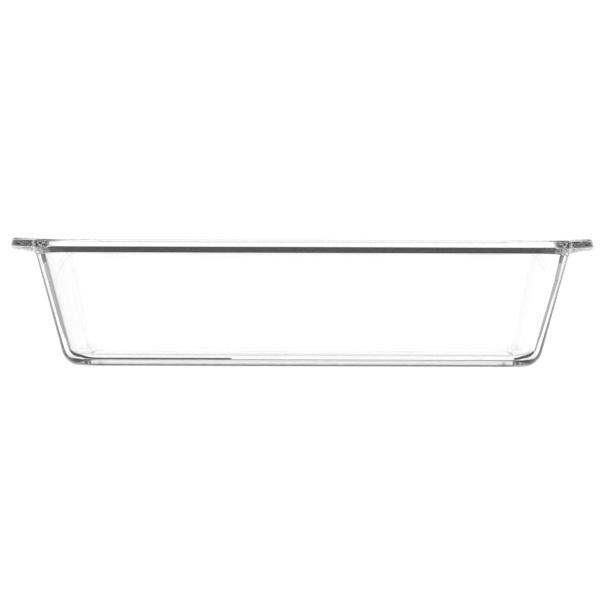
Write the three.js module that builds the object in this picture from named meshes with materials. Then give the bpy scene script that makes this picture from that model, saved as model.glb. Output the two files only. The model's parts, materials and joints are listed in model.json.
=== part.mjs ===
// Square cake pan in clear pressed glass: one piece with drafted walls, a lip round the rim and a tab handle
// at each end. Millimetres, +Z up, origin on the table under the middle of the pan, handles along X.
//
// The whole pan is one section carried round a rounded rectangle. The section is drawn as reach, the
// distance out from a core rectangle whose corners are the axes of the pan's corner rounds, against height.
// It has two forms with the same points in the same order, one through the plain rim and one through a
// handle, and along each end the first is drawn out into the second and back again.

import * as THREE from "three";

// Basin
const RIM_HEIGHT = 50; // table to the flat top of the rim
const INSIDE_LENGTH = 207.5; // inside the walls at the rim, along X
const INSIDE_WIDTH = 207.5; // inside the walls at the rim, along Y
const INSIDE_CORNER_RADIUS = 24; // at the rim; the draft makes it smaller lower down
const WALL_DRAFT = THREE.MathUtils.degToRad(15.3); // the walls lean outwards
const WALL_THICKNESS = 3.6; // square to the wall
const FLOOR_HEIGHT = 3.8; // table to the inside of the floor
const FLOOR_FILLET = 4; // floor to wall, inside
const BASE_FILLET = 7.6; // wall to foot, outside

// Foot: a flat ring that the pan stands on, round a shallow recess
const FOOT_WIDTH = 4;
const FOOT_RECESS = 0.6;
const FOOT_STEP = 1.2; // how wide the slope up into the recess is

// Rim: a lip all round, upright above and sloping in to the wall below
const RIM_DEPTH = 5.2; // top of the rim to where the slope meets the wall
const RIM_FACE = 2.6; // top of the rim to where the slope starts
const RIM_OVERHANG = 2.4; // how far the lip stands out from the wall below it
const RIM_TOP_ROUND = 1.2; // outer edge, above
const RIM_UNDER_ROUND = 0.6; // outer edge, below
const RIM_MOUTH_ROUND = 1.2; // inner edge, at the mouth of the basin
const RIM_THROAT_FILLET = 1; // wall to the slope

// Handles: tabs that carry the lip further out along each end and run out in its corners
const HANDLE_REACH = 7.8; // how far the tip stands out past the rim
const HANDLE_TIP_INSET = 32; // side of the pan to the straight edge of the tip, along Y
const HANDLE_SHOULDER = 28; // length of the S-curve at each end of that edge, along Y
const HANDLE_RAISE = 0.7; // how far the top stands above the rim
const HANDLE_RAMP = 3; // width of the slope up from the rim
const HANDLE_TIP_THICKNESS = 4.3; // thinner than at the wall, so the underside rises outwards
const HANDLE_LEAN = 1.1; // how far the upper edge stands back from the tip
const HANDLE_UNDER_ROUND = 1.6; // lower edge of the tip
const HANDLE_THROAT_FILLET = 2; // wall to the underside

// Fineness
const CORNER_STEPS = 12; // steps round each corner of the pan
const SHOULDER_STEPS = 4; // steps along each end from its corner to the straight edge of the tip
const ROUND_STEPS = 6; // steps round each round of the section
const SHARPEST_CORNER = 0.4; // least corner radius of a level, where the section comes in past the core

const core = new THREE.Vector2(INSIDE_LENGTH / 2, INSIDE_WIDTH / 2).subScalar(INSIDE_CORNER_RADIUS);
const wallAcross = WALL_THICKNESS / Math.cos(WALL_DRAFT); // the wall's thickness, measured level

// Reach of the wall's inside and outside faces at a height
const insideReach = (z) => INSIDE_CORNER_RADIUS - (RIM_HEIGHT - z) * Math.tan(WALL_DRAFT);
const outsideReach = (z) => insideReach(z) + wallAcross;

// The rim's top is flat between its two rounds, and a handle's slope starts a third of the way out on it
const throat = RIM_HEIGHT - RIM_DEPTH;
const mouth = insideReach(RIM_HEIGHT);
const rimEdge = outsideReach(throat) + RIM_OVERHANG;
const landInner = mouth + RIM_MOUTH_ROUND;
const landOuter = rimEdge - RIM_TOP_ROUND;
const landThird = (landOuter - landInner) / 3;
const rampStart = landInner + landThird;

// Where the straight edge of a handle's tip stops, along Y
const tipEnd = core.y + rimEdge - HANDLE_TIP_INSET;

const rimLip = {
  edge: rimEdge,
  lean: 0,
  top: RIM_HEIGHT,
  under: RIM_HEIGHT - RIM_FACE,
  rampEnd: rampStart + landThird,
  underRound: RIM_UNDER_ROUND,
  throatFillet: RIM_THROAT_FILLET,
};

const handleLip = {
  edge: rimEdge + HANDLE_REACH,
  lean: HANDLE_LEAN,
  top: RIM_HEIGHT + HANDLE_RAISE,
  under: RIM_HEIGHT + HANDLE_RAISE - HANDLE_TIP_THICKNESS,
  rampEnd: rampStart + HANDLE_RAMP,
  underRound: HANDLE_UNDER_ROUND,
  throatFillet: HANDLE_THROAT_FILLET,
};

// A corner of the section and the radius that rounds it
function corner(reach, z, round = 0) {
  return { at: new THREE.Vector2(reach, z), round };
}

// The tangent arc that rounds a corner between its neighbours
function cornerArc(before, { at, round }, after) {
  const back = before.at.clone().sub(at).normalize();
  const onward = after.at.clone().sub(at).normalize();
  const half = Math.acos(back.dot(onward)) / 2;
  const middle = back.clone().add(onward).setLength(round / Math.sin(half)).add(at);
  const start = back.clone().setLength(round / Math.tan(half)).add(at).sub(middle);
  const turn = Math.sign(start.cross(at.clone().sub(middle))) * (Math.PI - 2 * half);
  const from = start.angle();
  return new THREE.EllipseCurve(middle.x, middle.y, round, round, from, from + turn, turn < 0);
}

// The points of the section through a lip, from the edge of the recess below to the edge of the floor
function panSection(lip) {
  const footOuter = outsideReach(0) - BASE_FILLET * Math.tan((Math.PI / 2 - WALL_DRAFT) / 2);
  const footInner = footOuter - FOOT_WIDTH;
  const floorCorner = insideReach(FLOOR_HEIGHT);
  const corners = [
    corner(footInner - FOOT_STEP, FOOT_RECESS),
    corner(footInner, 0),
    corner(outsideReach(0), 0, BASE_FILLET),
    corner(outsideReach(throat), throat, lip.throatFillet),
    corner(lip.edge, lip.under, lip.underRound),
    corner(lip.edge - lip.lean, lip.top, RIM_TOP_ROUND),
    corner(lip.rampEnd, lip.top),
    corner(rampStart, RIM_HEIGHT),
    corner(mouth, RIM_HEIGHT, RIM_MOUTH_ROUND),
    corner(floorCorner, FLOOR_HEIGHT, FLOOR_FILLET),
  ];
  const floorMiddle = corner(-core.x, FLOOR_HEIGHT);
  return corners.flatMap((bend, i) => {
    if (bend.round === 0) {
      return [bend.at];
    }
    return cornerArc(corners[i - 1], bend, corners[i + 1] ?? floorMiddle).getPoints(ROUND_STEPS);
  });
}

// How much of a handle there is at a distance along an end: all along the tip, none past the shoulders
function handleShare(y) {
  const past = (Math.abs(y) - tipEnd) / HANDLE_SHOULDER;
  return (1 + Math.cos(Math.PI * THREE.MathUtils.clamp(past, 0, 1))) / 2;
}

// The stations round the pan, counterclockwise from above. Each has its place on the core rectangle, as
// shares of the rectangle's half length and half width, and the way out from there.
function panStations() {
  const shoulderShares = [];
  if (tipEnd < core.y) {
    for (let i = 1; i <= SHOULDER_STEPS; i++) {
      shoulderShares.push(THREE.MathUtils.lerp(1, tipEnd / core.y, i / SHOULDER_STEPS));
    }
  }
  const endShares = [...shoulderShares.map((share) => -share), 0, ...shoulderShares.toReversed()];

  const stations = [];
  for (const [x, y] of [[1, 0], [0, 1], [-1, 0], [0, -1]]) {
    const facing = new THREE.Vector2(x, y);
    const onward = new THREE.Vector2(-y, x);
    for (const share of x === 0 ? [0] : endShares) {
      stations.push({ place: onward.clone().multiplyScalar(share).add(facing), out: facing });
    }
    const place = onward.clone().add(facing);
    for (let i = 0; i <= CORNER_STEPS; i++) {
      const angle = (i / CORNER_STEPS) * (Math.PI / 2);
      const out = facing.clone().multiplyScalar(Math.cos(angle)).addScaledVector(onward, Math.sin(angle));
      stations.push({ place, out });
    }
  }
  return stations;
}

// Where a point of the section comes at a station, drawn out along X by its share of a handle
function panPoint(rimPoint, handlePoint, { place, out }) {
  const radius = Math.max(rimPoint.x, SHARPEST_CORNER);
  const inset = radius - rimPoint.x;
  const x = place.x * (core.x - inset) + out.x * radius;
  const y = place.y * (core.y - inset) + out.y * radius;
  const drawn = handlePoint.clone().sub(rimPoint).multiplyScalar(handleShare(y));
  return [x + Math.sign(x) * drawn.x, y, rimPoint.y + drawn.y];
}

// A closed body: levels of points skinned in order, and each end of the run closed to its middle
function skinned(levels) {
  const count = levels[0].length;
  const positions = levels.flat(2);
  const faces = [];
  for (let level = 0; level + 1 < levels.length; level++) {
    for (let i = 0; i < count; i++) {
      const next = (i + 1) % count;
      const [a, b] = [level * count + i, level * count + next];
      const [c, d] = [b + count, a + count];
      faces.push(a, b, c, a, c, d);
    }
  }
  const last = (levels.length - 1) * count;
  const below = levels.length * count;
  const above = below + 1;
  positions.push(0, 0, levels[0][0][2], 0, 0, levels.at(-1)[0][2]);
  for (let i = 0; i < count; i++) {
    const next = (i + 1) % count;
    faces.push(below, next, i, above, last + i, last + next);
  }
  const geometry = new THREE.BufferGeometry();
  geometry.setAttribute("position", new THREE.Float32BufferAttribute(positions, 3));
  geometry.setIndex(faces);
  geometry.computeVertexNormals();
  return geometry;
}

const stations = panStations();
const rimSection = panSection(rimLip);
const handleSection = panSection(handleLip);
const levels = rimSection.map((point, i) => {
  return stations.map((station) => panPoint(point, handleSection[i], station));
});

const clearGlass = new THREE.MeshStandardMaterial({
  name: "clear_glass",
  color: 0xe6efed,
  metalness: 0,
  roughness: 0.04,
  transparent: true,
  opacity: 0.35,
});

const pan = new THREE.Mesh(skinned(levels), clearGlass);
pan.name = "glass_pan";

const part = new THREE.Group();
part.name = "glass_cake_pan";
part.add(pan);

export default part;
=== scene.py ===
"""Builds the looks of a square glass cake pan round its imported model.

The pan is made again in pressed glass, and it stands in a white studio.
"""

import json
import math
from typing import NamedTuple

import bmesh
import bpy
from bpy.props import FloatProperty, IntProperty, PointerProperty, StringProperty
from bpy.types import Node, NodeSocket, Operator, Panel, PropertyGroup
from mathutils import Matrix, Vector, noise


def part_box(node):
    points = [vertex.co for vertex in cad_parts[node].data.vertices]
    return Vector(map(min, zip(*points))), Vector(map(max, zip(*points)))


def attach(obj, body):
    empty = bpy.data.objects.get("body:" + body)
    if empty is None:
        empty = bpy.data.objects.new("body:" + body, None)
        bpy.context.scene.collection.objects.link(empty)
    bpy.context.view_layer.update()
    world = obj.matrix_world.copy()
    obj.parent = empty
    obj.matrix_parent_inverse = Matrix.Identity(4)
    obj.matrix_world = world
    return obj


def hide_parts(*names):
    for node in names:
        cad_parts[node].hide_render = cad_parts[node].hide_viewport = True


bl_info = {
    "name": "Glass Cake Pan",
    "version": (1, 0, 0),
    "blender": (4, 5, 0),
    "location": "3D View > Sidebar > Cake Pan",
    "description": "Makes a square pressed-glass cake pan and the white studio it stands in",
    "category": "Object",
}

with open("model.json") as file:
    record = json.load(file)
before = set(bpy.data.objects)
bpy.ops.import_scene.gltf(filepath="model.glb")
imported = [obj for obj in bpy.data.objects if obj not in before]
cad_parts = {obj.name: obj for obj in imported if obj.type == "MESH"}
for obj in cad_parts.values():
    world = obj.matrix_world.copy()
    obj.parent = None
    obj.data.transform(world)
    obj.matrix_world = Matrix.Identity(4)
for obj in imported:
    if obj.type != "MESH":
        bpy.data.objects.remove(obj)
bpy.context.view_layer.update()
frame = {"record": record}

MM = 0.001

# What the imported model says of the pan
mounts = {mount["name"]: Vector(mount["pos_m"]) for mount in frame["record"]["mounts"]}
top_corner = Vector(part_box("glass_pan")[1])
RIM_HEIGHT = mounts["rim_top"].z
FLOOR_HEIGHT = mounts["inner_floor"].z
HANDLE_RAISE = top_corner.z - RIM_HEIGHT
HALF_WIDTH = top_corner.y


def length(name, description, default):
    """A property that holds a length."""
    return FloatProperty(name=name, description=description, default=default, unit="LENGTH", precision=5)


def angle(name, description, degrees):
    """A property that holds an angle."""
    return FloatProperty(name=name, description=description, default=math.radians(degrees), subtype="ANGLE")


def swatch(name, description, default):
    """A property that holds a colour."""
    return StringProperty(name=name, description=f"{description}, as sRGB hex", default=default)


def number(name, description, default):
    """A property that holds a plain number."""
    return FloatProperty(name=name, description=description, default=default, precision=3)


def count(name, description, default):
    """A property that holds a whole number."""
    return IntProperty(name=name, description=description, default=default, min=1)


class PanSizes(PropertyGroup):
    """Sizes of the pan's section and handles."""

    inside_corner: length("Inside corner", "Corner radius inside the rim", 24 * MM)
    wall_draft: angle("Wall draft", "How far the walls lean out", 15.3)
    wall: length("Wall", "Thickness square to the wall", 3.6 * MM)
    floor_fillet: length("Floor fillet", "Round from the floor to the wall, inside", 4 * MM)
    base_fillet: length("Base fillet", "Round from the wall to the foot, outside", 7.6 * MM)
    foot_width: length("Foot width", "Width of the flat ring that the pan stands on", 4 * MM)
    foot_recess: length("Foot recess", "Depth of the recess inside that ring", 0.6 * MM)
    foot_step: length("Foot step", "Width of the slope up into the recess", 1.2 * MM)
    rim_depth: length("Rim depth", "Top of the rim to where its slope meets the wall", 5.2 * MM)
    rim_face: length("Rim face", "Top of the rim to where its slope starts", 2.6 * MM)
    rim_overhang: length("Rim overhang", "How far the lip stands out from the wall below it", 2.4 * MM)
    rim_top_round: length("Rim top round", "Round of the lip's outer edge, above", 1.2 * MM)
    rim_under_round: length("Rim under round", "Round of the lip's outer edge, below", 0.6 * MM)
    rim_mouth_round: length("Rim mouth round", "Round of the rim's inner edge", 1.2 * MM)
    rim_throat: length("Rim throat", "Round from the wall to the rim's slope", 1 * MM)
    handle_reach: length("Handle reach", "How far a handle's tip stands out past the rim", 7.8 * MM)
    tip_inset: length("Handle tip inset", "Side of the pan to the straight edge of a handle's tip", 32 * MM)
    shoulder: length("Handle shoulder", "Length of the curve at each end of that edge", 28 * MM)
    ramp: length("Handle ramp", "Width of the slope from the rim up to a handle", 3 * MM)
    tip_thickness: length("Handle tip thickness", "Thickness of the glass at a handle's tip", 4.3 * MM)
    handle_lean: length("Handle lean", "How far a handle's upper edge stands back from its tip", 1.1 * MM)
    handle_under_round: length("Handle under round", "Round of the lower edge of a handle's tip", 1.6 * MM)
    handle_throat: length("Handle throat", "Round from the wall to a handle's underside", 2 * MM)
    side_steps: count("Side steps", "Steps along half of each side", 33)
    corner_steps: count("Corner steps", "Steps round each corner", 18)


class GlassLook(PropertyGroup):
    """How the glass looks."""

    tint: swatch("Tint", "Colour of the glass", "fdfdfd")
    depth_tint: swatch("Depth tint", "Colour of thick glass", "bcbcbc")
    depth_density: number("Depth density", "How fast thick glass takes that colour", 0.6)
    ior: number("IOR", "Index of refraction of soda-lime glass", 1.52)
    wave_depth: length("Wave depth", "How far the pressed faces stray from true", 0.03 * MM)
    wave_size: length("Wave size", "Size of those waves", 26 * MM)
    ripple_depth: length("Ripple depth", "Depth of the ripples left by the fire polish", 0.002 * MM)
    ripple_size: length("Ripple size", "Size of those ripples", 5 * MM)
    smoothest: number("Smoothest", "Roughness of the best polished glass", 0.0)
    roughest: number("Roughest", "Roughness of the least polished glass", 0.02)


class StudioLook(PropertyGroup):
    """The camera and the white studio."""

    camera_distance: length("Camera distance", "From the middle of the pan", 2.0)
    camera_height: length("Camera height", "Above the table", RIM_HEIGHT)
    floor: swatch("Floor", "Colour of the floor", "f4f4f4")
    floor_light: number("Floor light", "Light of its own that the white floor has", 0.86)
    floor_shade: swatch("Floor shade", "Colour that takes the pan's shadow", "909090")
    # The black and grey cards paint shade into the glass: the black strips under the foot are a painted
    # contact shadow, and the cards further out paint dark reflections
    black: swatch("Black", "Colour of the black cards", "0a0a0a")
    grey: swatch("Grey", "Colour of the grey cards", "a0a0a0")
    strip_left: length("Strip left", "Middle of the pan to the start of the left black strip", 28 * MM)
    strip_right: length("Strip right", "Middle of the pan to the start of the right black strip", 84 * MM)
    wall_top: angle("Wall top", "How high the white wall round the table is seen", 12)
    gap_foot: angle("Gap foot", "Where the dark gap above it starts", 13.5)
    gap_top: angle("Gap top", "Where the dark gap ends", 24)
    gap_light: number("Gap light", "Light from the dark gap", 0.002)
    gap_side: angle("Gap side", "How far to each side of front and back the gap is full dark", 25)
    side_start: angle("Side start", "Where the gap has the light of the sides", 45)
    side_light: number("Side light", "Light from the gap at the sides", 0.5)
    ceiling: angle("Ceiling", "Where the white ceiling is full", 44)
    window_foot: angle("Window foot", "How high the white windows at the front and the back start", 25)
    window_side: angle("Window side", "How far those windows reach to each side", 50)


class Lip(NamedTuple):
    """The form of the lip, on the plain rim or on a handle."""

    edge: float
    lean: float
    top: float
    under: float
    ramp_start: float
    ramp_end: float
    under_round: float
    throat: float


class Corner(NamedTuple):
    """A corner of the section, as reach and height, and the radius that rounds it."""

    at: Vector
    round: float = 0.0


WHITE = (1, 1, 1, 1)


def linear(hex_colour):
    """An sRGB hex colour as linear RGBA."""
    channels = [int(hex_colour[i : i + 2], 16) / 255 for i in (0, 2, 4)]
    return (*((c / 12.92 if c <= 0.04045 else ((c + 0.055) / 1.055) ** 2.4) for c in channels), 1.0)


def add_node(tree, kind, inputs=(), **settings):
    """Add a node with its settings, and set or link its inputs.

    An input that is given as a node is linked to that node's first output.
    """
    node = tree.nodes.new(kind)
    for name, value in settings.items():
        setattr(node, name, value)
    for socket, value in inputs:
        if isinstance(value, Node):
            value = value.outputs[0]
        if isinstance(value, NodeSocket):
            tree.links.new(value, node.inputs[socket])
        else:
            node.inputs[socket].default_value = value
    return node


def add_object(name, bm, material):
    """Make a smooth-shaded object of a bmesh."""
    mesh = bpy.data.meshes.new(name)
    for face in bm.faces:
        face.smooth = True
    bm.to_mesh(mesh)
    bm.free()
    mesh.materials.append(material)
    made = bpy.data.objects.new(name, mesh)
    bpy.context.scene.collection.objects.link(made)
    return made


SUPPORT = 0.35 * MM  # distance of the extra edge beside a round, which keeps the flat next to it flat
ROUND_STEPS = 14  # steps round each round of the section
RUN_STEP = 3 * MM  # length of a step along each flat of the section
MIRROR_MERGE = 0.001 * MM  # a vertex this near the mirror is its own image
WELD = 0.01 * MM  # vertices this near each other become one


def inside_reach(sizes, z):
    """How far out from the core rectangle the wall's inside face is at a height."""
    return sizes.inside_corner - (RIM_HEIGHT - z) * math.tan(sizes.wall_draft)


def outside_reach(sizes, z):
    """How far out from the core rectangle the wall's outside face is at a height."""
    return inside_reach(sizes, z) + sizes.wall / math.cos(sizes.wall_draft)


def pan_lips(sizes):
    """The lip's two forms, on the plain rim and on a handle."""
    edge = outside_reach(sizes, RIM_HEIGHT - sizes.rim_depth) + sizes.rim_overhang
    land_inner = inside_reach(sizes, RIM_HEIGHT) + sizes.rim_mouth_round
    land_third = (edge - sizes.rim_top_round - land_inner) / 3
    ramp_start = land_inner + land_third
    rim = Lip(
        edge=edge,
        lean=0,
        top=RIM_HEIGHT,
        under=RIM_HEIGHT - sizes.rim_face,
        ramp_start=ramp_start,
        ramp_end=ramp_start + land_third,
        under_round=sizes.rim_under_round,
        throat=sizes.rim_throat,
    )
    handle = Lip(
        edge=edge + sizes.handle_reach,
        lean=sizes.handle_lean,
        top=RIM_HEIGHT + HANDLE_RAISE,
        under=RIM_HEIGHT + HANDLE_RAISE - sizes.tip_thickness,
        ramp_start=ramp_start,
        ramp_end=ramp_start + sizes.ramp,
        under_round=sizes.handle_under_round,
        throat=sizes.handle_throat,
    )
    return rim, handle


def pan_corners(sizes, lip):
    """The section's corners, from the core's edge below, round the lip, to the core's edge on the floor."""
    throat = RIM_HEIGHT - sizes.rim_depth
    base_tangent = sizes.base_fillet * math.tan((math.pi / 2 - sizes.wall_draft) / 2)
    foot_outer = outside_reach(sizes, 0) - base_tangent
    foot_inner = foot_outer - sizes.foot_width
    return [
        Corner(Vector((0, sizes.foot_recess))),
        Corner(Vector((foot_inner - sizes.foot_step, sizes.foot_recess))),
        Corner(Vector((foot_inner, 0))),
        Corner(Vector((outside_reach(sizes, 0), 0)), sizes.base_fillet),
        Corner(Vector((outside_reach(sizes, throat), throat)), lip.throat),
        Corner(Vector((lip.edge, lip.under)), lip.under_round),
        Corner(Vector((lip.edge - lip.lean, lip.top)), sizes.rim_top_round),
        Corner(Vector((lip.ramp_end, lip.top))),
        Corner(Vector((lip.ramp_start, RIM_HEIGHT))),
        Corner(Vector((inside_reach(sizes, RIM_HEIGHT), RIM_HEIGHT)), sizes.rim_mouth_round),
        Corner(Vector((inside_reach(sizes, FLOOR_HEIGHT), FLOOR_HEIGHT)), sizes.floor_fillet),
        Corner(Vector((0, FLOOR_HEIGHT))),
    ]


def grow_chain(bm, tip, steps, **turn):
    """Spin or step the last vertex of a chain onwards, and return the new last vertex."""
    bmesh.ops.spin(bm, geom=[tip], steps=steps, **turn)
    bm.verts.ensure_lookup_table()
    return bm.verts[-1]


def draw_run(bm, tip, goal, steps):
    """A straight run of a chain, with a short step at each end."""
    way = goal - tip.co
    short = way.normalized() * min(SUPPORT, way.length / 3)
    tip = grow_chain(bm, tip, 1, dvec=short)
    tip = grow_chain(bm, tip, steps, dvec=(way - 2 * short) / steps)
    return grow_chain(bm, tip, 1, dvec=short)


def draw_section(corners, core, run_steps):
    """A bmesh with the section beyond the core's edge, rounds and all, as one chain of vertices."""

    def place(point):
        return Vector((core + point.x, 0, point.y))

    bm = bmesh.new()
    tip = bm.verts.new(place(corners[0].at))
    for before, corner, after, steps in zip(corners, corners[1:], corners[2:], run_steps):
        back = (before.at - corner.at).normalized()
        onward = (after.at - corner.at).normalized()
        half = back.angle(onward) / 2
        start = corner.at + back * (corner.round / math.tan(half))
        tip = draw_run(bm, tip, place(start), steps)
        if corner.round:
            middle = corner.at + (back + onward).normalized() * (corner.round / math.sin(half))
            turn = math.copysign(math.pi - 2 * half, back.cross(onward))
            tip = grow_chain(bm, tip, ROUND_STEPS, cent=place(middle), axis=(0, 1, 0), angle=turn)
    draw_run(bm, tip, place(corners[-1].at), run_steps[-1])
    return bm


def pan_section(sizes):
    """A bmesh with the plain section, and the half width of the core that it is carried round.

    Each vertex is marked with the way to its place on a handle.
    """
    rim, handle = pan_lips(sizes)
    core = HALF_WIDTH - rim.edge
    handle_corners = pan_corners(sizes, handle)
    runs = [end.at - start.at for start, end in zip(handle_corners, handle_corners[1:])]
    run_steps = [max(1, round(run.length / RUN_STEP)) for run in runs]
    bm = draw_section(pan_corners(sizes, rim), core, run_steps)
    drawn_out = draw_section(handle_corners, core, run_steps)
    way = bm.verts.layers.float_vector.new("way_to_handle")
    for vert, goal in zip(bm.verts, drawn_out.verts):
        vert[way] = goal.co - vert.co
    drawn_out.free()
    return bm, core


def shape_handles(bm, sizes):
    """Draw the lip out into a handle along each end, which runs out in the corners."""
    way = bm.verts.layers.float_vector["way_to_handle"]
    for vert in bm.verts:
        past = (abs(vert.co.y) - (HALF_WIDTH - sizes.tip_inset)) / sizes.shoulder
        share = (1 + math.cos(math.pi * min(max(past, 0), 1))) / 2
        outwards = math.copysign(1, vert.co.x)
        vert.co += Vector((outwards * vert[way].x, 0, vert[way].z)) * share


def pan_mesh(sizes, look):
    """The pan: its section carried along half an end, round a corner, along half a side, and mirrored."""
    bm, core = pan_section(sizes)
    steps = sizes.side_steps
    along_end = bmesh.ops.spin(bm, geom=bm.verts[:] + bm.edges[:], steps=steps, dvec=(0, core / steps, 0))
    round_corner = bmesh.ops.spin(
        bm,
        geom=along_end["geom_last"],
        steps=sizes.corner_steps,
        cent=(core, core, 0),
        axis=(0, 0, 1),
        angle=math.pi / 2,
    )
    bmesh.ops.spin(bm, geom=round_corner["geom_last"], steps=steps, dvec=(-core / steps, 0, 0))
    for axis in ("X", "Y"):
        so_far = bm.verts[:] + bm.edges[:] + bm.faces[:]
        bmesh.ops.mirror(bm, geom=so_far, axis=axis, merge_dist=MIRROR_MERGE)
    for height in (sizes.foot_recess, FLOOR_HEIGHT):
        level = Matrix.Translation((0, 0, height)) @ Matrix.Diagonal((core, core, 1, 1))
        bmesh.ops.create_grid(bm, x_segments=2 * steps, y_segments=2 * steps, size=1, matrix=level)
    bmesh.ops.remove_doubles(bm, verts=bm.verts, dist=WELD)
    bmesh.ops.recalc_face_normals(bm, faces=bm.faces)
    shape_handles(bm, sizes)
    bm.normal_update()
    for vert in bm.verts:
        wave = noise.noise(vert.co / look.wave_size)
        vert.co -= vert.normal * look.wave_depth * (1 + wave) / 2
    return bm


def clear_pressed_glass(look):
    """Clear soda-lime glass, pressed in a mould and fire-polished.

    The eye gets a bright, almost colourless body, dark lines where an edge bends the light away, and lines
    that waver a little because the pressed faces aren't quite true.
    """
    material = bpy.data.materials.new("clear_pressed_soda_lime_glass")
    material.use_nodes = True
    tree = material.node_tree
    tree.nodes.clear()
    place = add_node(tree, "ShaderNodeTexCoord").outputs["Object"]
    ripple = add_node(tree, "ShaderNodeTexNoise", [("Vector", place), ("Scale", 1 / look.ripple_size)])
    polish = add_node(
        tree,
        "ShaderNodeMapRange",
        [("Value", ripple), ("To Min", look.smoothest), ("To Max", look.roughest)],
    )
    bump = add_node(tree, "ShaderNodeBump", [("Distance", look.ripple_depth), ("Height", ripple)])
    glass = add_node(
        tree,
        "ShaderNodeBsdfPrincipled",
        [
            ("Base Color", linear(look.tint)),
            ("Roughness", polish),
            ("IOR", look.ior),
            ("Transmission Weight", 1.0),
            ("Normal", bump),
        ],
    )
    depth = add_node(
        tree,
        "ShaderNodeVolumeAbsorption",
        [("Color", linear(look.depth_tint)), ("Density", look.depth_density)],
    )
    add_node(tree, "ShaderNodeOutputMaterial", [("Surface", glass), ("Volume", depth)])
    return material


def white_floor(look):
    """Matt white laminate: an even white that only the pan's faint shadow marks."""
    material = bpy.data.materials.new("matt_white_laminate")
    material.use_nodes = True
    tree = material.node_tree
    tree.nodes.clear()
    light_path = add_node(tree, "ShaderNodeLightPath").outputs
    straight = [(0, light_path["Is Camera Ray"]), (1, light_path["Is Glossy Ray"])]
    straight = add_node(tree, "ShaderNodeMath", straight, operation="MAXIMUM")
    through = [(0, straight), (1, light_path["Is Transmission Ray"])]
    seen = add_node(tree, "ShaderNodeMath", through, operation="MAXIMUM")
    matt = add_node(tree, "ShaderNodeBsdfDiffuse", [("Color", linear(look.floor))])
    shade = add_node(tree, "ShaderNodeBsdfDiffuse", [("Color", linear(look.floor_shade))])
    glow = add_node(tree, "ShaderNodeEmission", [("Strength", look.floor_light)])
    white = add_node(tree, "ShaderNodeAddShader", [(0, shade), (1, glow)])
    surface = add_node(tree, "ShaderNodeMixShader", [(0, seen), (1, matt), (2, white)])
    add_node(tree, "ShaderNodeOutputMaterial", [("Surface", surface)])
    return material


ONE_WALL = 2  # faces that light goes through on its way in and out of one wall
SAME_COUNT = 0.5  # two counts that differ by less are the same


def painted_shade_card(name, colour):
    """Matt card beside the glass that paints shade into it: the dark that the glass shows along its edges,
    as a painted reflection.

    Only light that has turned round inside one wall of the glass meets it. It is clear to all other light.
    """
    material = bpy.data.materials.new(name)
    material.use_nodes = True
    tree = material.node_tree
    tree.nodes.clear()
    light_path = add_node(tree, "ShaderNodeLightPath").outputs
    faces = [(0, light_path["Transmission Depth"]), (1, ONE_WALL), (2, SAME_COUNT)]
    one_wall = add_node(tree, "ShaderNodeMath", faces, operation="COMPARE")
    turns = [(0, light_path["Glossy Depth"]), (1, one_wall)]
    turned = add_node(tree, "ShaderNodeMath", turns, operation="MULTIPLY", use_clamp=True)
    clear = add_node(tree, "ShaderNodeBsdfTransparent")
    matt = add_node(tree, "ShaderNodeBsdfDiffuse", [("Color", linear(colour))])
    surface = add_node(tree, "ShaderNodeMixShader", [(0, turned), (1, clear), (2, matt)])
    add_node(tree, "ShaderNodeOutputMaterial", [("Surface", surface)])
    return material


CARD_GAP = 0.01 * MM  # the cards lie just under the foot, and the floor just under the cards

# Places on the table, as x and y from the middle of the pan, for its right side
# The black strip under the foot is a painted contact shadow, which only the glass shows
STRIP_FRONT = -88.3 * MM
STRIP_BACK = -85.5 * MM
STRIP_BEND = 88 * MM
JOINT = (108 * MM, -72 * MM)  # where the black strip meets the grey card
CARD_FRONT = -112 * MM
CARD_REACH = 3000 * MM
FAR_NEAR = (247 * MM, 50 * MM)
FAR_BACK = (262 * MM, 180 * MM)
FAR_FRONT = (CARD_REACH, 500 * MM)

# Outlines of the black card further out and, from the joint on, of the grey cards, which paint dark
# reflections into the glass
FAR_CARD = (FAR_NEAR, FAR_BACK, (CARD_REACH, 4830 * MM), FAR_FRONT)
WIDE_CARD = (
    (126 * MM, -55 * MM),
    (229 * MM, 120 * MM),
    FAR_BACK,
    FAR_NEAR,
    FAR_FRONT,
    (CARD_REACH, CARD_FRONT),
)
SLIM_CARD = (
    (127 * MM, -48 * MM),
    (193 * MM, 60 * MM),
    (235 * MM, 190 * MM),
    FAR_BACK,
    FAR_NEAR,
    (220 * MM, 35 * MM),
    (156 * MM, -36 * MM),
    (112 * MM, -72 * MM),
    (112 * MM, CARD_FRONT),
)


def lay_card(bm, side, outline):
    """Add a flat card on the table, to the right of the pan or mirrored to its left."""
    bm.faces.new([bm.verts.new((side * x, y, -CARD_GAP)) for x, y in outline])


def lay_painted_shade_cards(look):
    """Cards at each side that paint shade into the glass: a black strip under the foot that is a painted
    contact shadow, and a grey card and a black one further out that paint dark reflections.

    The strips leave a white gap between them. The grey card is wide on the left and slim on the right.
    """
    black = bmesh.new()
    grey = bmesh.new()
    for side, start, card in ((-1, look.strip_left, WIDE_CARD), (1, look.strip_right, SLIM_CARD)):
        strip = (
            (start, STRIP_FRONT),
            (start, STRIP_BACK),
            (STRIP_BEND, STRIP_BACK),
            JOINT,
            (JOINT[0], STRIP_FRONT),
        )
        lay_card(black, side, strip)
        lay_card(grey, side, ((JOINT[0], CARD_FRONT), JOINT, *card))
        lay_card(black, side, FAR_CARD)
    # Only light turned inside the glass sees these cards: painted contact shadow and painted dark
    # reflections
    add_object("black_cards_painted_shadow_and_reflection", black, painted_shade_card("black_card_painted_shadow_and_reflection", look.black))
    add_object("grey_cards_painted_reflection", grey, painted_shade_card("grey_card_painted_reflection", look.grey))


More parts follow.
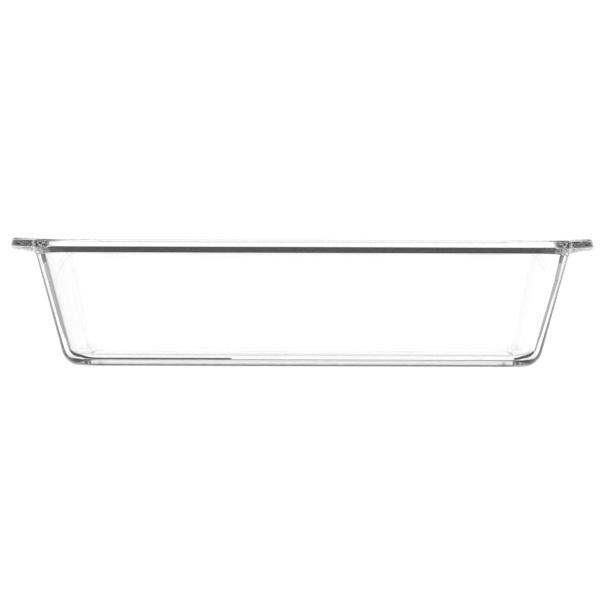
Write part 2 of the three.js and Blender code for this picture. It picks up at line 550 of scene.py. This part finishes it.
def white_studio(look):
    """The world: white light on the table, and for the glass a white wall all round and a white ceiling.

    A dark gap parts the two, lighter at the sides. White windows stand over it at the front and the back.
    """
    world = bpy.data.worlds.new("white_studio")
    bpy.context.scene.world = world
    world.use_nodes = True
    tree = world.node_tree
    tree.nodes.clear()
    way = add_node(tree, "ShaderNodeTexCoord").outputs["Generated"]
    way = add_node(tree, "ShaderNodeSeparateXYZ", [(0, way)]).outputs
    light = add_node(tree, "ShaderNodeValToRGB", [(0, way["Z"])])
    stops = light.color_ramp.elements
    stops[0].position = math.sin(look.wall_top)
    stops[0].color = WHITE
    stops[1].position = math.sin(look.ceiling)
    stops[1].color = WHITE
    for edge in (look.gap_foot, look.gap_top):
        stop = stops.new(math.sin(edge))
        stop.color = (look.gap_light, look.gap_light, look.gap_light, 1)
    # How nearly the way is straight to the front or the back
    ahead = add_node(tree, "ShaderNodeMath", [(0, way["Y"])], operation="ABSOLUTE")
    window_sides = [(0, ahead), (1, math.cos(look.window_side))]
    window_sides = add_node(tree, "ShaderNodeMath", window_sides, operation="GREATER_THAN")
    window_foot = [(0, way["Z"]), (1, math.sin(look.window_foot))]
    window_foot = add_node(tree, "ShaderNodeMath", window_foot, operation="GREATER_THAN")
    window = add_node(tree, "ShaderNodeMath", [(0, window_sides), (1, window_foot)], operation="MULTIPLY")
    sides = add_node(
        tree,
        "ShaderNodeMapRange",
        [
            ("Value", ahead),
            ("From Min", math.cos(look.side_start)),
            ("From Max", math.cos(look.gap_side)),
            ("To Min", look.side_light),
            ("To Max", 0.0),
        ],
        interpolation_type="SMOOTHSTEP",
    )
    bright = add_node(tree, "ShaderNodeMath", [(0, window), (1, sides)], operation="MAXIMUM")
    light_path = add_node(tree, "ShaderNodeLightPath").outputs
    seen = [(0, light_path["Is Camera Ray"]), (1, light_path["Is Diffuse Ray"])]
    seen = add_node(tree, "ShaderNodeMath", seen, operation="MAXIMUM")
    white = add_node(tree, "ShaderNodeMath", [(0, seen), (1, bright)], operation="MAXIMUM")
    colour = add_node(tree, "ShaderNodeMixRGB", [(0, white), (1, light), (2, WHITE)])
    background = add_node(tree, "ShaderNodeBackground", [("Color", colour)])
    add_node(tree, "ShaderNodeOutputWorld", [("Surface", background)])


FLOOR_RADIUS = 12  # metres
FLOOR_SEGMENTS = 96
TRAPPED_BOUNCES = 32  # lets light run along inside the glass and come out at the far side
PHOTO_SIDE = 605  # pixels along each side of the photograph
PIXELS_PER_METRE = 2417.0  # in the plane through the middle of the pan
RIM_ROW = 240.0  # pixel row that is level with the camera
MIDDLE_COLUMN = 302.15  # pixel column of the middle of the pan
CAMERA_ROLL = math.radians(0.18)  # the rim is this far off level in the photograph
SENSOR_WIDTH = 36  # millimetres
CLIP_END = 100  # metres


def photo_camera(look):
    """The camera, level with the rim, with the photograph's frame."""
    data = bpy.data.cameras.new("photo_camera")
    focal_pixels = PIXELS_PER_METRE * look.camera_distance
    data.sensor_width = SENSOR_WIDTH
    data.lens = SENSOR_WIDTH * focal_pixels / PHOTO_SIDE
    data.clip_end = CLIP_END
    camera = bpy.data.objects.new("photo_camera", data)
    bpy.context.scene.collection.objects.link(camera)
    camera.location = (0, -look.camera_distance, look.camera_height)
    down = math.atan((PHOTO_SIDE / 2 - RIM_ROW) / focal_pixels)
    aside = math.atan((PHOTO_SIDE / 2 - MIDDLE_COLUMN) / focal_pixels)
    turn = Matrix.Rotation(-aside, 4, "Z") @ Matrix.Rotation(math.pi / 2 - down, 4, "X")
    camera.rotation_euler = (turn @ Matrix.Rotation(CAMERA_ROLL, 4, "Z")).to_euler()
    bpy.context.scene.camera = camera


class CAKEPAN_OT_glass_pan(Operator):
    """Make the pan in clear pressed glass"""

    bl_idname = "cakepan.glass_pan"
    bl_label = "Glass Pan"

    def execute(self, context):
        sizes = context.scene.cakepan_sizes
        look = context.scene.cakepan_glass
        pan = add_object("pressed_glass_pan", pan_mesh(sizes, look), clear_pressed_glass(look))
        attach(pan, "root")
        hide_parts("glass_pan")
        return {"FINISHED"}


class CAKEPAN_OT_studio(Operator):
    """Make the floor and cards, the light and the camera"""

    bl_idname = "cakepan.studio"
    bl_label = "White Studio"

    def execute(self, context):
        look = context.scene.cakepan_studio
        bm = bmesh.new()
        under = Matrix.Translation((0, 0, -2 * CARD_GAP))
        bmesh.ops.create_circle(
            bm,
            cap_ends=True,
            segments=FLOOR_SEGMENTS,
            radius=FLOOR_RADIUS,
            matrix=under,
        )
        add_object("floor", bm, white_floor(look))
        lay_painted_shade_cards(look)
        white_studio(look)
        photo_camera(look)
        context.scene.view_settings.view_transform = "Standard"
        context.scene.cycles.max_bounces = TRAPPED_BOUNCES
        context.scene.cycles.transmission_bounces = TRAPPED_BOUNCES
        context.scene.cycles.glossy_bounces = TRAPPED_BOUNCES
        return {"FINISHED"}


class CAKEPAN_PT_panel(Panel):
    """Lists what makes the pan and its studio"""

    bl_label = "Cake Pan"
    bl_space_type = "VIEW_3D"
    bl_region_type = "UI"
    bl_category = "Cake Pan"

    def draw(self, context):
        self.layout.operator(CAKEPAN_OT_glass_pan.bl_idname)
        self.layout.operator(CAKEPAN_OT_studio.bl_idname)


CLASSES = (PanSizes, GlassLook, StudioLook, CAKEPAN_OT_glass_pan, CAKEPAN_OT_studio, CAKEPAN_PT_panel)


def register():
    for cls in CLASSES:
        bpy.utils.register_class(cls)
    bpy.types.Scene.cakepan_sizes = PointerProperty(type=PanSizes)
    bpy.types.Scene.cakepan_glass = PointerProperty(type=GlassLook)
    bpy.types.Scene.cakepan_studio = PointerProperty(type=StudioLook)


def unregister():
    del bpy.types.Scene.cakepan_studio
    del bpy.types.Scene.cakepan_glass
    del bpy.types.Scene.cakepan_sizes
    for cls in reversed(CLASSES):
        bpy.utils.unregister_class(cls)


def main():
    register()
    bpy.ops.cakepan.glass_pan()
    bpy.ops.cakepan.studio()


if __name__ == "__main__":
    main()
